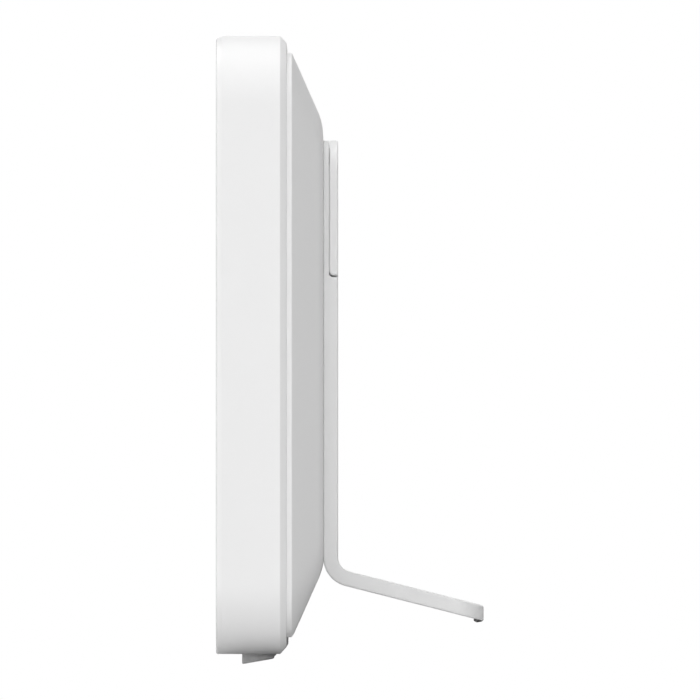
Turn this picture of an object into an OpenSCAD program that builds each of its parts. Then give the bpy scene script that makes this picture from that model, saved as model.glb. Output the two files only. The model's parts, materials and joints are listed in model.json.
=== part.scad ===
// Indoor monitor of a video doorbell, leaning back on a bent-plate desk stand.
// Millimetres. +Z is up, the screen faces -Y, and the desk is the plane z = 0.
// Every part is drawn in the panel's own frame: x from its middle, y back from the
// face of the glass, z up from its bottom edge. stood() then leans it back on its feet.

/* [Panel] */
// Width of the panel
panel_w = 193; // [186:1:204]
// Height of the panel
panel_h = 125; // [124:1:132]
// Radius of the panel's four corners
corner_r = 13; // [10:0.5:16]
// Thickness of the cover glass
glass_t = 1.1; // [0.8:0.1:1.4]
// Depth from the glass face to the back edge of the housing
housing_back = 14.2; // [13.8:0.1:15]
// Depth of the chamfer on the housing's back edge
chamfer_depth = 1.25; // [0.8:0.05:1.6]
// How far that chamfer cuts in from the side
chamfer_inset = 1.4; // [1:0.1:2]
// Wall thickness of the housing
housing_wall = 2.2; // [1.8:0.1:2.6]

/* [Back cover] */
// Step in from the housing's side to the rim of the back cover
rim_inset = 3.4; // [3:0.1:4]
// Depth of the rim's upright band
rim_depth = 1.1; // [0.8:0.1:1.4]
// Depth from the glass face to the flat back
back_y = 21.6; // [21:0.1:23]
// Angle between the sloping sides and the upright
taper_angle = 24.1; // [23:0.1:27]
// Radius where the sloping sides turn into the flat back
taper_fillet = 12; // [8:1:14]
// Corner radius of the flat back
back_corner_r = 6; // [4:0.5:8]
// Wall thickness of the back cover
cover_wall = 2; // [1.8:0.1:2.2]

/* [Stand] */
// How far the panel leans back from the vertical
lean = 9.9; // [8:0.1:12]
// Thickness of the bent plate
plate_t = 3; // [2.8:0.1:3.2]
// Width of the bent plate
stand_w = 96; // [92:1:110]
// Height of the plate's top edge above the panel's bottom edge
stand_top = 104.5; // [104:0.5:108]
// Corner radius of the plate
stand_corner_r = 6; // [4:0.5:8]
// Inner radius of the bend
bend_r = 3; // [2.5:0.5:4]
// Slope of the leg, down from a square bend
leg_slope = 14.25; // [12:0.25:15]
// Depth from the glass face to the tip of the leg
leg_reach = 54.3; // [52:0.5:58]
// Height of the snap-on screw cover
screw_cover_h = 27.9; // [27:0.1:29]
// Thickness of the snap-on screw cover
screw_cover_t = 1.87; // [1.8:0.01:2]
// Gap round the screw cover
screw_cover_gap = 0.15; // [0.1:0.05:0.25]

/* [Feet] */
// Depth from the glass face to the front of the front feet
foot_y = 5.2; // [4:0.1:6]
// Depth of the front feet, front to back
foot_depth = 6.5; // [5:0.1:7]
// Height of the front feet at their front edge
foot_h = 2.08; // [2:0.02:2.4]
// Length of each front foot
foot_l = 26; // [20:1:30]
// Distance from the middle of the panel to the middle of each front foot
foot_x = 66; // [50:1:68]

/* [Hidden] */
$fn = 64;
e = 0.01;                       // overlap that keeps joined solids joined

// Height of the desk, in the panel's frame
function desk_z(y) = (y - foot_y) * tan(lean) - foot_h;

// Upper face of the leg: at its tip just clear of the desk, and where it would meet the upright
tip_clear = 0.05;
tip_z = desk_z(leg_reach) + tip_clear + plate_t / cos(leg_slope);
bend_z = tip_z + (leg_reach - back_y - plate_t) * tan(leg_slope);

// Layers behind the glass, each given by its front and back depth
adhesive_y = [glass_t, glass_t + 0.15];
touch_y = [glass_t, glass_t + 0.3];
lcd_y = [touch_y[1], touch_y[1] + 1.4];
backlight_y = [lcd_y[1], lcd_y[1] + 2];
housing_front = adhesive_y[1];
chassis_y = [backlight_y[1] + 0.1, backlight_y[1] + 1.3];
board_y = [chassis_y[1] + 1.3, chassis_y[1] + 2.9];

// Screen module, whose picture is seven inches across the corners
module_size = [165, 100];
pocket_gap = 0.5;
pocket_wall = 1.2;

// Seat of the back cover in the housing
flange_inset = 7;
spigot_gap = 0.1;
spigot_wall = 1.5;

// Flat back, from the rim and the slope of the sides
taper_ratio = tan(taper_angle);
rim_back = housing_back + rim_depth;
taper_inset = rim_inset + (back_y - rim_back) / taper_ratio;

// Bay in the back cover where the network plug and the wires go in
bay_x = 26;
bay_z = [22, 63];
bay_floor = 8.3;
bay_wall = 1.3;
connector_z = bay_z[1] + bay_wall + 0.1;

// Board, cut away round the bay and round the network jack
board_size = [124, 68];
board_z = 64;
board_back = board_y[1];
board_screw_at = [[-58, 34], [58, 34], [-58, 94], [58, 94]];
board_post_r = 2.5;
board_screw_r = 0.8;

// Network jack, let into the board, and the wire terminals beside it
jack_x = -11;
jack_size = [16, 11.5, 18];
jack_y = board_y[0] + 0.2;
socket_y = [jack_y + 2.8, jack_y + 9.6];
socket_w = 11.9;
socket_l = 14;
latch_w = 6.4;
latch_depth = 1.4;
terminal_x = 12;
terminal_poles = 4;
terminal_pitch = 3.81;
terminal_size = [terminal_poles * terminal_pitch + 1.6, 8.6, 10];

// Ribbons from the screen: middle, width, and the depth each one leaves at
display_ribbon = [38.5, 18, backlight_y[0] + 0.4];
touch_ribbon = [51.5, 6, lcd_y[0] + 0.4];
ribbon_t = 0.25;
ribbon_y = chassis_y[1] + 0.15;
ribbon_top = 47;
screen_low = (panel_h - module_size[1]) / 2;

// Screws that hold the back cover, and those that hold the stand
case_screw_at = [[-70, 27], [70, 27], [-70, 98], [70, 98]];
case_boss_y = 10.5;
case_post_r = 3.4;
case_boss_r = 4.4;
case_hole_r = 1.3;
case_head_r = 2.5;
case_head_y = [case_boss_y + 2, case_boss_y + 3.8];
stand_screw_at = [[-30, 84], [30, 84], [-30, 97], [30, 97]];
insert_r = 2.1;
insert_l = 5;
insert_boss_r = 3.6;
stand_screw_r = 1.5;
stand_head_r = 2.9;
peg_at = [[-42, 84], [42, 84], [-42, 97], [42, 97]];
peg_r = 1.5;

// Window in the stand's upright, over the bay
window_size = [44, 34];
window_z = 42;
window_r = 5;

// Reset button, beside the stand
reset_at = [55, 50];
reset_r = 1.5;
reset_clear = 0.08;
switch_h = 3.5;
plunger_y = [board_back + switch_h + 0.35, back_y - 0.4];

// Loudspeaker, behind the slots in the lower sloping side
speaker_at = [-46, 20];
speaker_size = [32, 18];
speaker_y = [chassis_y[1], chassis_y[1] + 8.6];
magnet_y = speaker_y[1] - 4.4;

microphone_z = 7.6;
microphone_r = 0.6;

// Slots through the sloping sides: width and length, spacing, and run up the slope
speaker_slot = [1.1, 8];
speaker_slot_pitch = 2.4;
speaker_slot_run = 9;
vent_slot = [1.4, 6];
vent_slot_pitch = 4;
vent_slot_run = 8.2;

// Pegs that hold each front foot in the housing
foot_peg_r = 1.25;
foot_peg_x = [-foot_l / 4, foot_l / 4];

// Depth of the whole object once it leans back
row_depth = leg_reach * cos(lean) + tip_z * sin(lean);

// ---- Helpers ----

// Leans the panel's frame back, with its feet on z = 0 and its middle on the origin
module stood()
    translate([0, -row_depth / 2, -desk_z(0) * cos(lean)])
        rotate([-lean, 0, 0]) children();

// A flat shape drawn about the panel's middle, from depth span[0] to span[1]
module slab(span)
    translate([0, span[1], panel_h / 2]) rotate([90, 0, 0])
        linear_extrude(span[1] - span[0]) children();

// A block from depth span[0] to span[1], with its middle at x, z
module block(size, at, span)
    translate([at[0] - size[0] / 2, span[0], at[1] - size[1] / 2])
        cube([size[0], span[1] - span[0], size[1]]);

// A round peg or hole along the depth, at x, z
module peg(r, at, span)
    translate([at[0], span[1], at[1]]) rotate([90, 0, 0]) cylinder(r = r, h = span[1] - span[0]);

// A side view, drawn as [depth, height] and drawn out to a width across the panel
module across(width) rotate([90, 0, 90]) linear_extrude(width, center = true) children();

module rounded_rect(size, r)
    polygon(rect_points(size, r, 12));

// Outline of a rounded rectangle, n steps to a corner
function rect_points(size, r, n) = [
    for (corner = [0:3], i = [0:n])
        let (a = 90 * corner + 90 * i / n,
             sx = (corner == 0 || corner == 3) ? 1 : -1,
             sz = (corner < 2) ? 1 : -1)
        [sx * (size[0] / 2 - r) + r * cos(a), sz * (size[1] / 2 - r) + r * sin(a)]
];

// The panel's outline, stepped in by inset
module panel_outline(inset = 0)
    rounded_rect([panel_w - 2 * inset, panel_h - 2 * inset], max(corner_r - inset, 1));

// Corner radius of the back cover at a given inset
function cover_corner_r(inset) =
    let (t = max(0, min(1, (inset - rim_inset) / (taper_inset - rim_inset))))
    (1 - t) * (corner_r - rim_inset) + t * back_corner_r;

// Depth and inset along the sloping side: straight, then an arc into the flat back
function taper_profile(inset0, y0, y1, fillet, steps) =
    let (corner = inset0 + (y1 - y0) / taper_ratio,
         centre = [y1 - fillet, corner + fillet * tan(taper_angle / 2)])
    concat([[y0, inset0]], arc(centre, fillet, -taper_angle, 0, steps));

// Points on an arc, from one angle to another
function arc(centre, r, from, to, steps) = [
    for (i = [0:steps])
        let (a = from + (to - from) * i / steps)
        centre + r * [cos(a), sin(a)]
];

// A closed solid through a stack of rounded rectangles, each given by its depth and inset
module loft(profile, steps = 8) {
    rings = [for (p = profile)
        [for (q = rect_points([panel_w - 2 * p[1], panel_h - 2 * p[1]], cover_corner_r(p[1]), steps))
            [q[0], p[0], q[1] + panel_h / 2]]];
    n = len(rings[0]);
    last = (len(rings) - 1) * n;
    polyhedron(
        points = [for (ring = rings) for (p = ring) p],
        faces = concat(
            [[for (i = [n - 1:-1:0]) i]],
            [for (k = [0:len(rings) - 2]) for (i = [0:n - 1])
                [k * n + i, k * n + (i + 1) % n, (k + 1) * n + (i + 1) % n, (k + 1) * n + i]],
            [[for (i = [0:n - 1]) last + i]]));
}

// Point and direction along a curved route, and a thin lead that follows it at one depth
function bezier(p, t) =
    pow(1 - t, 3) * p[0] + 3 * pow(1 - t, 2) * t * p[1] + 3 * (1 - t) * t * t * p[2] + pow(t, 3) * p[3];
function bezier_slope(p, t) =
    3 * pow(1 - t, 2) * (p[1] - p[0]) + 6 * (1 - t) * t * (p[2] - p[1]) + 3 * t * t * (p[3] - p[2]);

module lead(route, y, r, rings = 18, sides = 8) {
    points = [for (k = [0:rings])
        let (c = bezier(route, k / rings), s = bezier_slope(route, k / rings), u = s / norm(s))
        for (i = [0:sides - 1])
            let (a = 360 * i / sides)
            [c[0] + r * cos(a) * -u[1], y + r * sin(a), c[1] + r * cos(a) * u[0]]];
    last = rings * sides;
    polyhedron(points = points, faces = concat(
        [[for (i = [sides - 1:-1:0]) i]],
        [for (k = [0:rings - 1]) for (i = [0:sides - 1])
            [k * sides + i, k * sides + (i + 1) % sides, (k + 1) * sides + (i + 1) % sides,
             (k + 1) * sides + i]],
        [[for (i = [0:sides - 1]) last + i]]));
}

// ---- Screen ----

module cover_glass() color("white") difference() {
    slab([0, glass_t]) panel_outline();
    peg(microphone_r, [0, microphone_z], [-1, glass_t + 1]);
}

module glass_adhesive() color("dimgray") slab(adhesive_y) difference() {
    panel_outline(0.6);
    panel_outline(housing_wall);
}

module touch_sensor() color("black")
    block([158, 92], [0, panel_h / 2], touch_y);

module lcd_panel() color([0.05, 0.05, 0.06])
    block(module_size, [0, panel_h / 2], lcd_y);

module backlight_unit() color("silver")
    block(module_size, [0, panel_h / 2], backlight_y);

// A flat ribbon out of the screen's lower edge, back through the chassis and up to the board
module ribbon(spec) {
    fold_z = screen_low - 1.5;
    back = ribbon_y + ribbon_t;
    union() {
        block([spec[1], 1.5], [spec[0], screen_low - 0.75], [spec[2], spec[2] + ribbon_t]);
        block([spec[1], ribbon_t], [spec[0], fold_z], [spec[2], back]);
        block([spec[1], ribbon_top - fold_z + ribbon_t / 2],
              [spec[0], (ribbon_top + fold_z) / 2 - ribbon_t / 4], [ribbon_y, back]);
    }
}

module display_flex() color("darkorange") ribbon(display_ribbon);

module touch_flex() color("orange") ribbon(touch_ribbon);

// ---- Housing ----

module housing_shell() {
    // Lip that hides the adhesive under the glass
    slab([glass_t, housing_front + e]) difference() {
        panel_outline();
        panel_outline(0.55);
    }
    slab([housing_front, housing_back - chamfer_depth]) difference() {
        panel_outline();
        panel_outline(housing_wall);
    }
    difference() {
        chamfered_edge();
        slab([housing_back - chamfer_depth - 1, housing_back + 1]) panel_outline(flange_inset);
    }
}

// Back edge of the housing, with its outer corner chamfered
module chamfered_edge() {
    straight = housing_back - chamfer_depth - 0.1;
    hull() {
        slab([straight, housing_back - chamfer_depth]) panel_outline();
        slab([housing_back - e, housing_back]) panel_outline(chamfer_inset);
    }
}

// Plate that carries the screen on its front and the board on its back
module chassis() {
    slab(chassis_y) panel_outline(housing_wall - e);
    slab([housing_front, chassis_y[0] + e]) difference() {
        square(module_size + 2 * [pocket_gap + pocket_wall, pocket_gap + pocket_wall], center = true);
        square(module_size + 2 * [pocket_gap, pocket_gap], center = true);
    }
}

// Ribs from the side walls to the wall round the screen
module bezel_ribs() {
    rib_t = 1;
    half = module_size / 2 + [pocket_gap + pocket_wall / 2, pocket_gap + pocket_wall / 2];
    reach = [panel_w / 2 - housing_wall / 2 - half[0], panel_h / 2 - housing_wall / 2 - half[1]];
    for (side = [-1, 1]) {
        for (x = [-60, -30, 30, 60])
            block([rib_t, reach[1]], [x, panel_h / 2 + side * (half[1] + reach[1] / 2)],
                  [housing_front, chassis_y[0] + e]);
        for (z = [-30, 0, 30])
            block([reach[0], rib_t], [side * (half[0] + reach[0] / 2), panel_h / 2 + z],
                  [housing_front, chassis_y[0] + e]);
    }
}

module housing() color("whitesmoke") difference() {
    union() {
        housing_shell();
        chassis();
        bezel_ribs();
        for (at = board_screw_at) peg(board_post_r, at, [chassis_y[1] - e, board_y[0]]);
        for (at = case_screw_at) peg(case_post_r, at, [chassis_y[1] - e, case_boss_y]);
    }
    for (at = board_screw_at) peg(board_screw_r, at, [chassis_y[0] - 1, board_y[0] + 1]);
    for (at = case_screw_at) peg(case_hole_r, at, [chassis_y[1] - 0.6, case_boss_y + 1]);
    // Slot that the two ribbons pass through
    block([28, 3.2], [42, screen_low - 1.2], [housing_front - 1, chassis_y[1] + 1]);
    // Holes for the pegs of the front feet
    for (side = [-1, 1], x = foot_peg_x)
        translate([side * foot_x + x, foot_y + foot_depth / 2, -1])
            cylinder(r = foot_peg_r, h = housing_wall + 2);
}

// Rubber wedge under the housing, with two pegs, cut off along the desk
module front_foot(side) {
    difference() {
        union() {
            translate([side * foot_x, foot_y + foot_depth / 2, -foot_h - 1]) linear_extrude(foot_h + 1)
                rounded_rect([foot_l, foot_depth], foot_depth / 2 - e);
            for (x = foot_peg_x)
                translate([side * foot_x + x, foot_y + foot_depth / 2, -e])
                    cylinder(r = foot_peg_r, h = housing_wall - 0.2 + e);
        }
        translate([side * foot_x, 0, 0]) across(foot_l + 2)
            polygon([[0, desk_z(0)], [20, desk_z(20)], [20, -20], [0, -20]]);
    }
}

module front_foot_left() color("gray") front_foot(-1);

module front_foot_right() color("gray") front_foot(1);

// ---- Back cover ----

// Slot through a sloping side: its middle at x and at a run up the slope, long way up the slope
module slope_slot(x, run, size, low = true) {
    z = rim_inset + run * cos(taper_angle);
    translate([x, rim_back + run * sin(taper_angle), low ? z : panel_h - z])
        rotate([low ? -taper_angle : taper_angle, 0, 0])
            cube([size[0], 12, size[1]], center = true);
}

module back_cover_shell() difference() {
    union() {
        loft(concat([[housing_back, rim_inset]],
                    taper_profile(rim_inset, rim_back, back_y, taper_fillet, 6)));
        slab([housing_back - 1.3, housing_back + e])
            panel_outline(flange_inset + spigot_gap);
    }
    cavity_inset = flange_inset + spigot_gap + spigot_wall;
    inner_y = rim_back + (cavity_inset - rim_inset) * taper_ratio - cover_wall / cos(taper_angle);
    loft(concat([[housing_back - 2, cavity_inset]],
                taper_profile(cavity_inset, inner_y, back_y - cover_wall, taper_fillet - cover_wall, 4)));
}

module connector_bay() {
    mid = (bay_z[0] + bay_z[1]) / 2;
    height = bay_z[1] - bay_z[0];
    block([2 * (bay_x + bay_wall), height + 2 * bay_wall], [0, mid], [bay_floor - bay_wall, back_y - 1]);
}

module connector_bay_space() {
    mid = (bay_z[0] + bay_z[1]) / 2;
    block([2 * bay_x, bay_z[1] - bay_z[0]], [0, mid], [bay_floor, back_y + 1]);
    // Openings in the bay's upper wall, for the network plug and the wires
    block([jack_size[0] - 3, 3], [jack_x, bay_z[1] + bay_wall / 2],
          [socket_y[0] - latch_depth - 0.2, socket_y[1] + 0.3]);
    block([terminal_size[0] - 2, 3], [terminal_x, bay_z[1] + bay_wall / 2],
          [board_back + 1, board_back + terminal_size[1] - 1.6]);
}

module back_cover() color("gainsboro") difference() {
    union() {
        back_cover_shell();
        connector_bay();
        for (at = case_screw_at) peg(case_boss_r, at, [case_boss_y, back_y - 1]);
        for (at = stand_screw_at) peg(insert_boss_r, at, [back_y - insert_l - 1.6, back_y - 1]);
        peg(reset_r + 1.4, reset_at, [board_back + switch_h + 1.6, back_y - 1]);
    }
    connector_bay_space();
    for (at = case_screw_at) {
        peg(case_head_r + 0.4, at, [case_head_y[0], back_y + 1]);
        peg(case_hole_r + 0.2, at, [case_boss_y - 1, case_boss_y + 3]);
    }
    for (at = stand_screw_at) peg(insert_r, at, [back_y - insert_l - 0.6, back_y + 1]);
    peg(reset_r + reset_clear, reset_at, [board_back + switch_h, back_y + 1]);
    // Loudspeaker slots, low on the left, and vent slots, high in the middle
    for (i = [-6:6]) slope_slot(speaker_at[0] + speaker_slot_pitch * i, speaker_slot_run, speaker_slot);
    for (i = [-9:9]) slope_slot(vent_slot_pitch * i, vent_slot_run, vent_slot, low = false);
}

module case_screws() color("silver") for (at = case_screw_at) difference() {
    union() {
        peg(case_hole_r, at, [chassis_y[1] + 0.2, case_head_y[0] + e]);
        peg(case_head_r, at, case_head_y);
    }
    cross_recess(at, case_head_y[1], 1.1, 0.55);
}

// Cross recess in a screw head whose top is at depth y
module cross_recess(at, y, depth, width) {
    block([3 * width + 1, width], at, [y - depth, y + 1]);
    block([width, 3 * width + 1], at, [y - depth, y + 1]);
}

// ---- Board ----

module main_board() color("darkgreen") difference() {
    block(board_size, [0, board_z], board_y);
    for (at = board_screw_at) peg(1.2, at, [board_y[0] - 1, board_y[1] + 1]);
    block([2 * (bay_x + bay_wall) + 1.4, connector_z - 20], [0, (connector_z + 20) / 2],
          [board_y[0] - 1, board_y[1] + 1]);
    block([jack_size[0] + 0.4, jack_size[2] + 1.2], [jack_x, connector_z + jack_size[2] / 2 - 0.4],
          [board_y[0] - 1, board_y[1] + 1]);
}

module board_screws() color("silver") for (at = board_screw_at) difference() {
    union() {
        peg(board_screw_r, at, [chassis_y[0] + 0.3, board_back + e]);
        peg(1.9, at, [board_back, board_back + 1.3]);
    }
    cross_recess(at, board_back + 1.3, 0.8, 0.4);
}

module on_board(size, at, height) block(size, at, [board_back, board_back + height]);

shield_at = [-37, 79];
shield_h = 1.8;
system_chip_at = [-43, 79];

module system_chip() color([0.1, 0.1, 0.11]) on_board([14, 14], system_chip_at, 1);

module memory_chips() color([0.1, 0.1, 0.11]) for (z = [72, 86]) on_board([10, 9], [-27, z], 0.9);

module shield_can() color("silver") difference() {
    on_board([36, 28], shield_at, shield_h);
    on_board([35.4, 27.4], shield_at, shield_h - 0.2);
}

module thermal_pad() color("lightblue")
    block([14, 14], system_chip_at, [board_back + shield_h, board_back + shield_h + 1]);

module heat_spreader() color("lightgray")
    block([34, 26], shield_at, [board_back + shield_h + 1, board_back + shield_h + 2.2]);

module power_transformer() color([0.15, 0.13, 0.1]) union() {
    on_board([13, 11], [44, 78], 7);
    on_board([15, 13], [44, 78], 1.2);
}

module board_capacitors() color("silver") for (at = [[26, 70], [26, 79], [18, 82], [10, 82]])
    peg(2.6, at, [board_back, board_back + 5.6]);

module power_inductors() color([0.2, 0.2, 0.22]) for (at = [[38, 66], [22, 93], [38, 92]])
    on_board([6.6, 6.6], at, 3);

module flex_connectors() color("ivory") for (spec = [display_ribbon, touch_ribbon])
    block([spec[1] + 0.8, 4], [spec[0], ribbon_top - 2], [ribbon_y + ribbon_t, board_y[0]]);

module reset_switch() color("dimgray") union() {
    on_board([6, 6], reset_at, 2.6);
    peg(1.4, reset_at, [board_back + 2.5, board_back + switch_h]);
}

// A long plunger from the tact switch to just under the flat back, with a collar that keeps it in
module reset_button() color("gray") union() {
    peg(reset_r, reset_at, plunger_y);
    peg(reset_r + 0.9, reset_at, [plunger_y[0], plunger_y[0] + 1]);
}

// ---- Connectors ----

module network_jack() color("silver") difference() {
    translate([jack_x - jack_size[0] / 2, jack_y, connector_z]) cube(jack_size);
    translate([jack_x - socket_w / 2, socket_y[0], connector_z - 1])
        cube([socket_w, socket_y[1] - socket_y[0], socket_l + 1]);
    translate([jack_x - latch_w / 2, socket_y[0] - latch_depth, connector_z - 1])
        cube([latch_w, latch_depth + 1, socket_l + 1]);
}

module jack_contacts() color("gold") for (i = [0:7])
    translate([jack_x + (i - 3.5) * 1.02 - 0.2, socket_y[1] - 0.9, connector_z + 1.5]) cube([0.4, 0.9, 10]);

// Middle of each wire terminal
function terminal_mid(i) = terminal_x + (i - (terminal_poles - 1) / 2) * terminal_pitch;

module terminal_block() color("green") difference() {
    translate([terminal_x - terminal_size[0] / 2, board_back, connector_z]) cube(terminal_size);
    for (i = [0:terminal_poles - 1])
        translate([terminal_mid(i) - 1.25, board_back + 1.6, connector_z - 1]) cube([2.5, 4.8, 8.5]);
}

// One leaf spring to a wire: a flat along the wire and a leaf that slopes down on to it
module terminal_clamps() color("silver") for (i = [0:terminal_poles - 1]) {
    leaf_t = 0.3;
    low = [1.6, 1];
    high = [6.4, 7.5];
    grip = [low[0] + 1, 3];
    translate([terminal_mid(i), board_back, connector_z]) rotate([90, 0, 90])
        linear_extrude(2.1, center = true) polygon([
            low, [low[0] + leaf_t, low[1]], [low[0] + leaf_t, high[1] - leaf_t],
            [high[0] - 0.5, high[1] - leaf_t], grip, grip + [0.25, -0.2],
            [high[0], high[1] - leaf_t + 0.1], high, [low[0], high[1]]
        ]);
}

// ---- Sound ----

module microphone_boot() color([0.2, 0.2, 0.2]) difference() {
    peg(2.6, [0, microphone_z], [glass_t, chassis_y[0] - 1]);
    peg(microphone_r, [0, microphone_z], [glass_t - 1, chassis_y[0]]);
}

module microphone_board() color("darkgreen")
    block([12, 5], [0, microphone_z], [chassis_y[0] - 1, chassis_y[0]]);

module speaker_frame() color([0.12, 0.12, 0.13]) difference() {
    block(speaker_size, speaker_at, speaker_y);
    peg(7.2, speaker_at, [magnet_y, speaker_y[1] + 1]);
}

module speaker_magnet() color("silver") union() {
    peg(3.2, speaker_at, [magnet_y, magnet_y + 3]);
    difference() {
        peg(5.6, speaker_at, [magnet_y, magnet_y + 2]);
        peg(4.6, speaker_at, [magnet_y + 0.6, magnet_y + 3]);
    }
}

// Moves with the cone, in the ring-shaped gap of the magnet
module voice_coil() color("peru") difference() {
    peg(4.1, speaker_at, [magnet_y + 1.1, speaker_y[1] - 0.9]);
    peg(3.6, speaker_at, [magnet_y, speaker_y[1]]);
}

module speaker_cone() color([0.18, 0.18, 0.19])
    peg(7, speaker_at, [speaker_y[1] - 0.9, speaker_y[1] - 0.5]);

module speaker_gasket() color([0.25, 0.25, 0.25])
    translate([speaker_at[0], speaker_y[1] + 0.8, speaker_at[1]]) rotate([90, 0, 0])
        linear_extrude(0.8) difference() {
            square([speaker_size[0] - 2, speaker_size[1] - 1], center = true);
            circle(r = 7.6);
        }

module speaker_lead() color("firebrick")
    lead([[-38, 29], [-38, 31], [-50, 31], [-50, 34]], board_y[0] - 0.5, 0.5);

module wifi_antenna() color("saddlebrown")
    block([36, 0.4], [-30, panel_h - housing_wall - 0.2], [chassis_y[1] + 0.3, housing_back - 1.6]);

module antenna_lead() color([0.15, 0.15, 0.15])
    lead([[-30, panel_h - housing_wall - 0.4], [-30, 112], [-10, 112], [-10, 98]], board_y[0] + 0.8, 0.55);

// ---- Stand ----

// Centre of the bend, in depth and height
bend_centre = [back_y + plate_t + bend_r,
               bend_z + bend_r * (1 - sin(leg_slope)) / cos(leg_slope)];

// Side view of the bent plate: upright, bend and leg, cut off upright at the tip
function stand_profile() = concat(
    [[back_y, stand_top], [back_y + plate_t, stand_top]],
    arc(bend_centre, bend_r, 180, 270 - leg_slope, 14),
    [[leg_reach, tip_z], [leg_reach, tip_z - plate_t / cos(leg_slope)]],
    arc(bend_centre, bend_r + plate_t, 270 - leg_slope, 180, 14));

// Rubber strip in a groove under the tip of the leg
strip_y = [leg_reach - 1.63, leg_reach - 0.2];
strip_top = tip_z - plate_t / cos(leg_slope) + 1.1;
strip_l = stand_w - 2 * stand_corner_r - 4;

// Seat of the screw cover in the plate, with its inner corner rounded
seat_y = back_y + plate_t - screw_cover_t;
seat_z = stand_top - screw_cover_h;
seat_r = 0.85;

function step_profile(front, low, r, back, top) =
    concat([[back, top], [front, top]], arc([front + r, low + r], r, 180, 270, 6), [[back, low]]);

// Rounds the two top corners of the plate, and leaves the leg alone
module plate_outline()
    translate([0, leg_reach + 1, stand_top / 2 - 30]) rotate([90, 0, 0]) linear_extrude(leg_reach)
        rounded_rect([stand_w, stand_top + 60], stand_corner_r);

module stand() color("gainsboro") difference() {
    intersection() {
        across(stand_w) polygon(stand_profile());
        plate_outline();
        // Rounds the two corners of the tip, and leaves the upright alone
        translate([0, leg_reach / 2 - 20, -1]) linear_extrude(stand_top + 2)
            rounded_rect([stand_w, leg_reach + 40], stand_corner_r);
    }
    across(stand_w + 2) polygon(step_profile(seat_y, seat_z, seat_r, back_y + plate_t + 1, stand_top + 1));
    slab([back_y - 1, back_y + plate_t + 1]) translate([0, window_z - panel_h / 2])
        rounded_rect(window_size, window_r);
    for (at = stand_screw_at) peg(stand_screw_r + 0.2, at, [back_y - 1, back_y + plate_t]);
    for (at = peg_at) peg(peg_r + 0.05, at, [back_y - 1, back_y + plate_t]);
    translate([-strip_l / 2, strip_y[0], strip_top - 5]) cube([strip_l, strip_y[1] - strip_y[0], 5]);
}

// Rubber strip, cut off along the desk
module rear_foot() color("gray") across(strip_l) polygon([
    [strip_y[0], desk_z(strip_y[0])], [strip_y[1], desk_z(strip_y[1])],
    [strip_y[1], strip_top], [strip_y[0], strip_top]
]);

module stand_inserts() color("goldenrod") for (at = stand_screw_at) difference() {
    peg(insert_r, at, [back_y - insert_l, back_y]);
    peg(stand_screw_r, at, [back_y - insert_l - 1, back_y + 1]);
}

module stand_screws() color("silver") for (at = stand_screw_at) difference() {
    union() {
        peg(stand_screw_r, at, [back_y - insert_l + 0.6, seat_y + e]);
        peg(stand_head_r, at, [seat_y, seat_y + 1]);
    }
    cross_recess(at, seat_y + 1, 0.7, 0.6);
}

// Thin lid over the stand's screws, held by four pegs
module screw_cover() color("gainsboro") {
    skin = 0.7;
    front = seat_y + screw_cover_gap;
    low = seat_z + screw_cover_gap + 0.2;
    difference() {
        intersection() {
            across(stand_w) polygon(step_profile(front, low, seat_r - 0.15, back_y + plate_t, stand_top));
            plate_outline();
        }
        block([69, stand_top - low - 4], [0, (stand_top + low) / 2], [seat_y - 1, back_y + plate_t - skin]);
    }
    for (at = peg_at) peg(peg_r, at, [back_y + 0.1, front + e]);
}

// ---- Nodes ----

stood() cover_glass();
stood() glass_adhesive();
stood() touch_sensor();
stood() touch_flex();
stood() lcd_panel();
stood() backlight_unit();
stood() display_flex();
stood() housing();
stood() back_cover();
stood() case_screws();
stood() main_board();
stood() board_screws();
stood() system_chip();
stood() memory_chips();
stood() shield_can();
stood() thermal_pad();
stood() heat_spreader();
stood() power_transformer();
stood() board_capacitors();
stood() power_inductors();
stood() flex_connectors();
stood() network_jack();
stood() jack_contacts();
stood() terminal_block();
stood() terminal_clamps();
stood() reset_switch();
stood() reset_button();
stood() microphone_board();
stood() microphone_boot();
stood() speaker_frame();
stood() speaker_magnet();
stood() voice_coil();
stood() speaker_cone();
stood() speaker_gasket();
stood() speaker_lead();
stood() wifi_antenna();
stood() antenna_lead();
stood() stand_inserts();
stood() stand();
stood() stand_screws();
stood() screw_cover();
stood() rear_foot();
stood() front_foot_left();
stood() front_foot_right();
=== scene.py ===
"""Indoor monitor of a video doorbell on its bent-plate desk stand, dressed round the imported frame.

Shapes are worked out in the panel's own frame, in metres: x from the panel's middle, y back from the face of
the glass, z up from its bottom edge. The panel leans back, and to_row() turns that frame into the object's.
"""

import json

import bmesh
import bpy
import numpy as np
from mathutils import Matrix


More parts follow.
